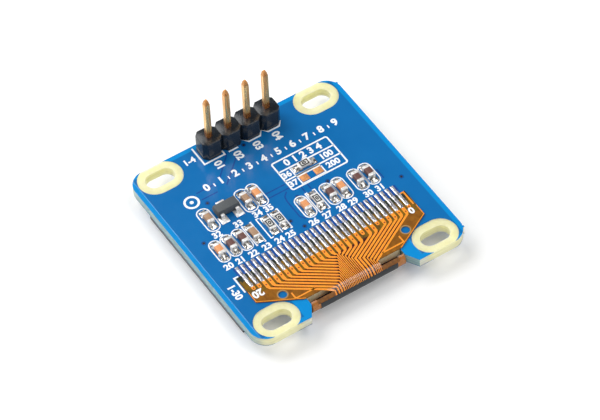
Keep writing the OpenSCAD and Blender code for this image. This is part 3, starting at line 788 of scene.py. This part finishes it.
def solder_wedge(into, height, side, seed):
    """Solder that climbs one end of a chip in a hollow fan and spreads over its pad."""
    wander = random.Random(seed)
    rows = 10
    columns = 10
    reach = (CHIP_PAD_GAP + 2 * CHIP_PAD_L - CHIP_L) / 2
    toe = wander.choice((0.0, 0.03, 0.07))
    steep = wander.uniform(1.5, 2.1)
    lean = wander.uniform(-0.25, 0.25)
    waist = wander.uniform(0.5, 0.75)
    grid = []
    for row in range(rows + 1):
        v = row / rows
        line = []
        for column in range(columns + 1):
            u = 2 * column / columns - 1
            half = CHIP_W / 2 * (0.94 + 0.2 * v)
            off = u - lean * (1 - u * u)
            climb = height * (1 - v) ** steep * (1 - waist * min(1, v * 2.5) * off * off)
            climb += toe * math.sin(math.pi * min(1, max(0, v - 0.55) / 0.45)) ** 2
            edge = 1 - u ** 6 * 0.8
            line.append((
                half * u, side * (CHIP_L / 2 - 0.02 + (reach + 0.01) * v),
                PAD_TOP + 0.02 * (1 - v ** 4) * edge + climb * edge))
        grid.append(line)
    height_field(into, grid, TOP)


def chip_pad(into, side):
    """The board's pad under one end of a chip."""
    inner = CHIP_PAD_GAP / 2
    y0, y1 = sorted((side * inner, side * (inner + CHIP_PAD_L)))
    box(into, (-CHIP_PAD_W / 2, y0, TOP), (CHIP_PAD_W / 2, y1, PAD_TOP), 0.015, 2)


CAPACITOR_COLOURS = {
    "ceramic_tan": (TAN, (1, 2)),
    "ceramic_salmon": (SALMON, (3, 4, 7, 9)),
    "ceramic_brown": (BROWN, (5, 6, 8, 10, 11)),
}
for slot, (colour, numbers) in CAPACITOR_COLOURS.items():
    for number in numbers:
        chip_body(f"capacitor_{number}", colour)
for node in RESISTORS:
    light = node != "resistor_1"
    chip_body(node, WHITE if light else TAN)

ends = bmesh.new()
joints = bmesh.new()
for index, node in enumerate(CAPACITORS + RESISTORS):
    chip_ends(ends, node)
    height = chip_height(node)
    solder = bmesh.new()
    for side in (-1, 1):
        chip_pad(solder, side)
        solder_wedge(solder, height * 0.8, side, 300 + 2 * index + side)
    solder.transform(at_node(node))
    merge(joints, solder)
add_piece("chip_end_caps", ends, TIN, sharp_angle=50)


MARK_X = 0.3
MARK_Y = 0.46
MARK_W = 0.12
MARK_T = 0.025
MARK_DIGIT = 0.66


def resistor_face(into, node):
    """The dark outline printed on a resistor, with a plain digit inside."""
    top = box_mm(node)[1].z - 0.005
    marks = bmesh.new()
    outline = [(-MARK_X, -MARK_Y), (MARK_X, -MARK_Y), (MARK_X, MARK_Y), (-MARK_X, MARK_Y)]
    ribbon(marks, outline, MARK_W, top - MARK_T, top, closed=True)
    digits("0", 0, 0, MARK_DIGIT, 0, top, marks, MARK_T)
    marks.transform(at_node(node))
    merge(into, marks)


glaze = bmesh.new()
for node in RESISTORS[1:]:
    resistor_face(glaze, node)
add_piece("resistor_marks", glaze, GLAZE)

# ------------------------------------------------------------------ regulator

body_low, body_high = box_mm("regulator_body")
middle = (body_low + body_high) / 2
regulator = bmesh.new()


def tapered_block(into, low, high, lean, bevel):
    """A moulded block, widest at its parting line half way up."""
    levels = ((low.z, lean), ((low.z + high.z) / 2, 0.0), (high.z, lean))
    rings = []
    for z, inset in levels:
        corners = ((low.x + inset, low.y + inset), (high.x - inset, low.y + inset),
                   (high.x - inset, high.y - inset), (low.x + inset, high.y - inset))
        rings.append([into.verts.new((x, y, z)) for x, y in corners])
    join_rings(into, rings)
    bevel_edges(into, into.edges[:], bevel, 3)


tapered_block(regulator, body_low, body_high, 0.1, 0.035)
add_piece("regulator_case", regulator, EPOXY, ["regulator_body"], 40)


LEAD_T = 0.15
LEAD_HALF = 0.21
LEAD_OUT = 0.1
LEAD_BEND = 0.1
FOOT_BEND = 0.07
FOOT_OUT = 0.28
LEAD_REACH = 0.57
LEAD_PITCH = 0.95


def bent_lead(into, x, side):
    """A flat lead that bends down from the case and turns out along its pad."""
    edge = (body_high.y - body_low.y) / 2 - 0.02
    exit_z = (body_low.z + body_high.z) / 2
    foot_z = PAD_TOP + LEAD_T / 2
    bends = [math.radians(30 * k) for k in range(4)]
    path = [(edge, exit_z)]
    path += [(edge + LEAD_OUT + LEAD_BEND * math.sin(a), exit_z - LEAD_BEND + LEAD_BEND * math.cos(a))
             for a in bends]
    path += [(edge + FOOT_OUT - FOOT_BEND * math.cos(a), foot_z + FOOT_BEND - FOOT_BEND * math.sin(a))
             for a in bends]
    path.append((edge + LEAD_REACH, foot_z))
    rings = []
    for i, (y, z) in enumerate(path):
        before = path[max(i - 1, 0)]
        after = path[min(i + 1, len(path) - 1)]
        along = Vector((after[0] - before[0], after[1] - before[1])).normalized()
        normal = Vector((-along.y, along.x)) * (LEAD_T / 2)
        ring = []
        for sx, sn in ((-1, 1), (1, 1), (1, -1), (-1, -1)):
            ring.append(into.verts.new((
                x + sx * LEAD_HALF, middle.y + side * (y + sn * normal.x), z + sn * normal.y)))
        rings.append(ring)
    join_rings(into, rings)


def mound(into, x0, x1, y0, y1, floor_z, height):
    """A low cushion of solder over a rectangle."""
    steps = 8
    grid = []
    for row in range(steps + 1):
        v = 2 * row / steps - 1
        line = []
        for column in range(steps + 1):
            u = 2 * column / steps - 1
            rise = height * (1 - u ** 4) * (1 - v ** 4)
            line.append((
                (x0 + x1) / 2 + (x1 - x0) / 2 * u, (y0 + y1) / 2 + (y1 - y0) / 2 * v,
                floor_z + 0.04 + rise))
        grid.append(line)
    height_field(into, grid, floor_z)


leads = bmesh.new()
mounds = bmesh.new()
for x, side in ((middle.x, 1), (middle.x - LEAD_PITCH, -1), (middle.x + LEAD_PITCH, -1)):
    bent_lead(leads, x, side)
    pad_y = middle.y + side * 1.0
    mound(mounds, x - 0.52, x + 0.52, pad_y - 0.55, pad_y + 0.55, TOP, 0.1)
add_piece("regulator_lead_frame", leads, TIN, ["regulator_leads"], 40)
add_piece("regulator_joints", mounds, TIN, sharp_angle=50)
add_piece("chip_solder", joints, SOLDER_PAINTED_REFLECTION, ["component_solder"], 50)

SPARE_L = 1.0
spare = bmesh.new()
low, high = box_mm("spare_pads")
for x0, x1 in ((low.x, low.x + SPARE_L), (high.x - SPARE_L, high.x)):
    box(spare, (x0, low.y, low.z), (x1, high.y, high.z), 0.02)
add_piece("spare_pad_copper", spare, COPPER, ["spare_pads"])

# --------------------------------------------------------------------- header

housing_low, housing_high = box_mm("header_housing")
PIN_PITCH = (housing_high.x - housing_low.x) / len(PINS)
CHAMFER = 0.5
FOOT_REFLECTION_BAND = 0.9
PIN_BEVEL = 0.045


def housing_outline(centre_x, centre_y, half_w):
    """The eight corners of one segment of the housing."""
    half = PIN_PITCH / 2
    flat = half - CHAMFER
    return [
        (centre_x - half, centre_y - half_w + CHAMFER), (centre_x - flat, centre_y - half_w),
        (centre_x + flat, centre_y - half_w), (centre_x + half, centre_y - half_w + CHAMFER),
        (centre_x + half, centre_y + half_w - CHAMFER), (centre_x + flat, centre_y + half_w),
        (centre_x - flat, centre_y + half_w), (centre_x - half, centre_y + half_w - CHAMFER),
    ]


segments = bmesh.new()
for pin in PINS:
    centre = centre_mm(pin)
    outline = housing_outline(centre.x, centre.y, (housing_high.y - housing_low.y) / 2)
    extrude_outline(segments, outline, housing_low.z, housing_high.z, 0.05, 3)
add_piece("header_segments", segments, HOUSING, ["header_housing"], 40)


def gold_material():
    """Gold plating: drawn streaks, a browner tip, and a darker mottled foot by the housing, which is
    a painted reflection.
    """
    made = Shader("gold_plating", srgb(250, 198, 128), 0.26, 0.74)
    _, _, z = made.xyz()
    streak = made.between(made.noise(0.09, stretch=(1, 1, 40)), 0.4, 0.6)
    bright = made.mix(streak, srgb(255, 220, 152), srgb(226, 160, 92))
    # At the foot the darker mottled colours are a painted reflection; at the tip they make it
    # browner.
    mottle = made.between(made.noise(0.1), 0.4, 0.6)
    tip_tone_and_foot_reflection = made.mix(mottle, srgb(226, 148, 78), srgb(128, 74, 36))
    tip_z = box_mm(PINS[0])[1].z
    foot = made.math("SUBTRACT", 1, made.between(
        z, housing_high.z + FOOT_REFLECTION_BAND - 0.15, housing_high.z + FOOT_REFLECTION_BAND))
    tip = made.math("MULTIPLY", made.between(z, tip_z - 0.85, tip_z - 0.65), 0.7)
    made.colour(made.mix(made.math("MAXIMUM", foot, tip), bright, tip_tone_and_foot_reflection))
    made.rough(streak, 0.2, 0.32)
    made.bump(made.noise(0.09, stretch=(1, 1, 40)), 0.003)
    return made.material


GOLD = gold_material()
for pin in PINS:
    low, high = box_mm(pin)
    centre = (low + high) / 2
    half = (high.x - low.x) / 2
    made = bmesh.new()
    rings = []
    for z, size in (
        (low.z, 0.75), (low.z + 0.12, 1.0), (high.z - 0.8, 1.0), (high.z - 0.25, 0.66),
        (high.z, 0.22),
    ):
        rings.append([
            made.verts.new((centre.x + sx * half * size, centre.y + sy * half * size, z))
            for sx, sy in ((-1, -1), (1, -1), (1, 1), (-1, 1))
        ])
    join_rings(made, rings)
    bevel_edges(made, made.edges[:], PIN_BEVEL, 3)
    add_piece(pin + "_plated", made, GOLD, [pin], 40)

# ------------------------------------------------------------------ silkscreen

LINE = 0.14
BOLD_LINE = 0.2
LABEL = 1.2
SMALL_LABEL = LABEL * 0.92
FIRST_LABEL = 20
LOWER_LABELS = -2.95
UPPER_LABELS = 1.52
LOWER_CHIPS = (-2.25, 1.05)
UPPER_CHIPS = (2.1, 5.6)
BRACKET_TOP = 0.95
BRACKET_FOOT = -2.2
TITLE_X = -6.8
TITLE_Y = 7.85
TITLE_STEP = 1.88
PRINT_FOOT = TOP - 0.002
SILK_TOP = TOP + 0.012
silk = bmesh.new()


def silk_line(path, width=LINE, closed=False):
    ribbon(silk, path, width, PRINT_FOOT, SILK_TOP, closed)


def bracket(tip_x, line_x):
    """A white bracket beside a resistor, whose tips end at tip_x."""
    silk_line([(tip_x, BRACKET_TOP), (line_x, BRACKET_TOP), (line_x, BRACKET_FOOT),
               (tip_x, BRACKET_FOOT)])


for (y0, y1), spans in (
    (LOWER_CHIPS, ((-11.1, -9.75), (-9.65, -8.25), (-8.2, -6.8), (0.05, 1.5), (3.3, 4.8),
                   (4.85, 6.3), (6.95, 8.4), (8.45, 9.9))),
    (UPPER_CHIPS, ((-9.85, -8.35), (-4.95, -3.4), (-3.45, -2.05))),
):
    for x0, x1 in spans:
        silk_line(stadium(x0, x1, y0, y1, 0.7, 10), closed=True)
bracket(-6.45, -6.6)
bracket(-5.6, -5.45)
bracket(-4.4, -4.75)
silk_line([(-3.25, BRACKET_TOP), (-3.25, BRACKET_FOOT)])
bracket(-2.2, -2.0)
bracket(2.0, 1.7)
bracket(2.65, 2.95)
silk_line(stadium(0.9, 8.2, 2.2, 6.65, 0.25, 4), BOLD_LINE, closed=True)
silk_line([(0.9, 5.15), (8.2, 5.15)], BOLD_LINE)
silk_line([(0.9, 3.72), (8.2, 3.72)], BOLD_LINE)
silk_line([(2.3, 3.6), (5.35, 3.6)], 0.34)
silk_line([(2.32, 3.4), (2.32, 2.35), (5.4, 2.35), (5.4, 3.4)], 0.16)
silk_line([(4.1, 5.33), (4.75, 5.33)], 0.22)
silk_line([(2.3, 5.0), (2.3, 3.9)], 0.16)
silk_line([(-5.2, 13.6), (-5.2, 10.85), (-2.55, 10.85), (-2.55, 11.45)], BOLD_LINE)
silk_line([(-2.0, 10.9), (-0.75, 10.9)], BOLD_LINE)
for pin in PINS[2:]:
    x = centre_mm(pin).x
    silk_line([(x - 1.2, 11.6), (x - 0.72, 10.9), (x + 0.72, 10.9), (x + 1.25, 11.6)], BOLD_LINE)
silk_line([(-10.6, -4.7), (-11.15, -4.7), (-11.15, -7.0)], BOLD_LINE)


def silk_digits(words, x, y, size=LABEL, turn=0):
    digits(words, x, y, size, turn, SILK_TOP, silk)


# A plain count labels the parts: the lower row, the upper row, then the table's two lines.
label_places = [(x, LOWER_LABELS) for x in (
    -10.7, -9.15, -7.5, -5.75, -4.1, -2.65, 0.4, 2.15, 4.0, 5.55, 7.55, 9.1)]
label_places += [(x, UPPER_LABELS) for x in (-9.4, -6.65, -4.15, -2.7)]
label_places += [(1.52, 4.4), (1.52, 2.97)]
for number, (x, y) in enumerate(label_places, FIRST_LABEL):
    silk_digits(str(number), x, y, SMALL_LABEL)
for words, x, y in (("100", 6.75, 4.4), ("200", 6.75, 2.97), ("1-4", -6.4, 12.15)):
    silk_digits(words, x, y, SMALL_LABEL)
for digit in range(5):
    silk_digits(str(digit), 2.5 + 1.05 * digit, 5.9, LABEL * 1.05)
for digit in range(10):
    silk_digits(str(digit), TITLE_X + TITLE_STEP * digit, TITLE_Y, LABEL * 1.12)
for digit in range(9):
    x = TITLE_X + TITLE_STEP * (digit + 0.5)
    silk_line([(x, 7.5), (x, 7.95)], 0.15)
for number, pin in enumerate(PINS, 1):
    silk_digits(f"0{number}", centre_mm(pin).x - 0.25, 9.85, LABEL * 1.05, -90)
silk_digits("1-30", -12.1, -6.35, LABEL, -90)
silk_line(arc(-9.3, 7.0, 0.8, 0, 345, 23), 0.26, closed=True)
silk_line(arc(-9.3, 7.0, 0.12, 0, 324, 9), 0.22, closed=True)
add_piece("silkscreen_print", silk, SILK)

FLEX_PRINT_TOP = FLEX_TOP + 0.014
flex_print = bmesh.new()
digits("20", -10.15, -7.95, 1.3, 180, FLEX_PRINT_TOP, flex_print)
digits("0", 10.05, -7.75, 1.2, 0, FLEX_PRINT_TOP, flex_print)
add_piece("flex_print", flex_print, SILK)

# ---------------------------------------------------------------- tracks, vias

TRACK_W = 0.16
TRACK_TOP = TOP + 0.004
GAP_MARGIN = 0.25
tracks = bmesh.new()
for path in (
    [(-2.3, 11), (-2.6, 10.5), (-4.9, 8.2)], [(-1.5, 10.6), (-1.5, 10), (-4.7, 7)],
    [(-8.2, 7.8), (-6, 7.8)], [(-8.2, 6.7), (-6.1, 6.7)],
    [(-2, 3.4), (0.6, 3.4)], [(-2, 2.7), (0.8, 2.7)],
    [(0.2, 2.4), (-0.35, 1.9), (-0.5, 1.2), (-0.5, -1.4), (-0.1, -2.0)],
    [(1.9, 2.1), (1.9, 1.2)], [(2.7, 2.1), (2.7, 1.2)], [(10.2, -0.5), (10.2, -2.0)],
):
    ribbon(tracks, path, TRACK_W, PRINT_FOOT, TRACK_TOP)
gap_y = (CONTACT_HIGH.y + PADS_HIGH.y) / 2
ribbon(tracks, [(CONTACT_LOW.x - GAP_MARGIN, gap_y), (CONTACT_HIGH.x + GAP_MARGIN, gap_y)],
       PADS_HIGH.y - CONTACT_HIGH.y, PRINT_FOOT, TRACK_TOP)
add_piece("mask_track_lines", tracks, TRACK)

# Rings of mask round each via, and a near-black disc that is painted shade for its hole.
rings = bmesh.new()
hole_shades = bmesh.new()
for x, y in ((-11.25, 1.35), (11.9, -2.95), (-7.9, 5.95), (-1.7, -1.4), (0.8, 1.1), (4.8, 1.1),
             (-0.8, -2.85), (-0.1, 10.8)):
    ribbon(rings, arc(x, y, 0.24, 0, 342, 19), 0.09, PRINT_FOOT, TOP + 0.01, closed=True)
    disc(hole_shades, x, y, 0.16, PRINT_FOOT, TOP + 0.003)
add_piece("via_rings", rings, TRACK)
add_piece("via_hole_shade_discs", hole_shades, VIA_HOLE_SHADE)

# ------------------------------------------------------- floor, light, camera

FLOOR_LIFT = 0.12
FLOOR_HALF = 1200
BACKDROP_LIGHT = 0.68
CEILING_LIGHT = 0.1
FADE_START = 0.22
FADE_END = 0.66


def floor_material():
    """A plain white floor. Where the camera, gloss or glass sees it, it is lifted to white."""
    made = Shader("floor", (0.93, 0.93, 0.93, 1), 0.9, Specular_IOR_Level=0.1)
    path = made.node("ShaderNodeLightPath")
    seen = made.math("MAXIMUM", path.outputs["Is Camera Ray"], made.math(
        "MAXIMUM", path.outputs["Is Glossy Ray"], path.outputs["Is Transmission Ray"]))
    made.shader.inputs["Emission Color"].default_value = (1, 1, 1, 1)
    made.link(made.math("MULTIPLY", seen, FLOOR_LIFT), made.shader.inputs["Emission Strength"])
    return made.material


floor_mesh = bpy.data.meshes.new("floor")
corner = FLOOR_HALF * MM
floor_mesh.from_pydata(
    [(-corner, -corner, 0), (corner, -corner, 0), (corner, corner, 0), (-corner, corner, 0)],
    [], [(0, 1, 2, 3)],
)
floor_mesh.materials.append(floor_material())
floor = bpy.data.objects.new("floor", floor_mesh)
scene.collection.objects.link(floor)


def area_light(name, place, size, power):
    """A rectangular lamp that faces the part."""
    light = bpy.data.lights.new(name, "AREA")
    light.shape = "RECTANGLE"
    light.size, light.size_y = size[0] * MM, size[1] * MM
    light.energy = power
    lamp = bpy.data.objects.new(name, light)
    lamp.location = Vector(place) * MM
    lamp.rotation_euler = (-Vector(place)).to_track_quat("-Z", "Y").to_euler()
    scene.collection.objects.link(lamp)


area_light("softbox_behind", (-70, 190, 270), (260, 150), 0.55)
area_light("softbox_low", (-190, 330, 190), (420, 120), 0.66)
area_light("softbox_left", (-280, 20, 150), (120, 160), 0.2)
area_light("softbox_front", (90, -240, 240), (240, 120), 0.24)
area_light("softbox_above", (110, -30, 300), (220, 100), 0.26)

world = bpy.data.worlds.new("studio")
scene.world = world
world.use_nodes = True
nodes = world.node_tree.nodes
links = world.node_tree.links
background = nodes["Background"]
background.inputs["Color"].default_value = (1, 1, 1, 1)
sky = nodes.new("ShaderNodeTexCoord")
split = nodes.new("ShaderNodeSeparateXYZ")
links.new(sky.outputs["Generated"], split.inputs[0])
fade = nodes.new("ShaderNodeMapRange")
links.new(split.outputs["Z"], fade.inputs["Value"])
fade.inputs["From Min"].default_value = FADE_START
fade.inputs["From Max"].default_value = FADE_END
fade.inputs["To Min"].default_value = BACKDROP_LIGHT
fade.inputs["To Max"].default_value = CEILING_LIGHT
rays = nodes.new("ShaderNodeLightPath")
shown = nodes.new("ShaderNodeMath")
shown.operation = "MAXIMUM"
links.new(rays.outputs["Is Camera Ray"], shown.inputs[0])
links.new(fade.outputs[0], shown.inputs[1])
links.new(shown.outputs[0], background.inputs["Strength"])

CAMERA_TURN = math.radians(-30.64)
CAMERA_TILT = math.radians(50.67)
CAMERA_ROLL = math.radians(-2.87)
CAMERA_REACH = 435.9
CAMERA_LENS = 237.4
CAMERA_AIM = Vector((0.015, -0.639, TOP))
back = Vector((
    math.cos(CAMERA_TILT) * math.sin(CAMERA_TURN),
    -math.cos(CAMERA_TILT) * math.cos(CAMERA_TURN),
    math.sin(CAMERA_TILT),
))
lens = bpy.data.cameras.new("camera")
lens.lens = CAMERA_LENS
lens.sensor_width = 36
lens.clip_start = 0.01
camera = bpy.data.objects.new("camera", lens)
camera.location = (CAMERA_AIM + back * CAMERA_REACH) * MM
upright = (-back).to_track_quat("-Z", "Y")
roll = Matrix.Rotation(CAMERA_ROLL, 4, back)
camera.rotation_euler = (roll @ upright.to_matrix().to_4x4()).to_euler()
scene.collection.objects.link(camera)
scene.camera = camera

scene.view_settings.view_transform = "Standard"
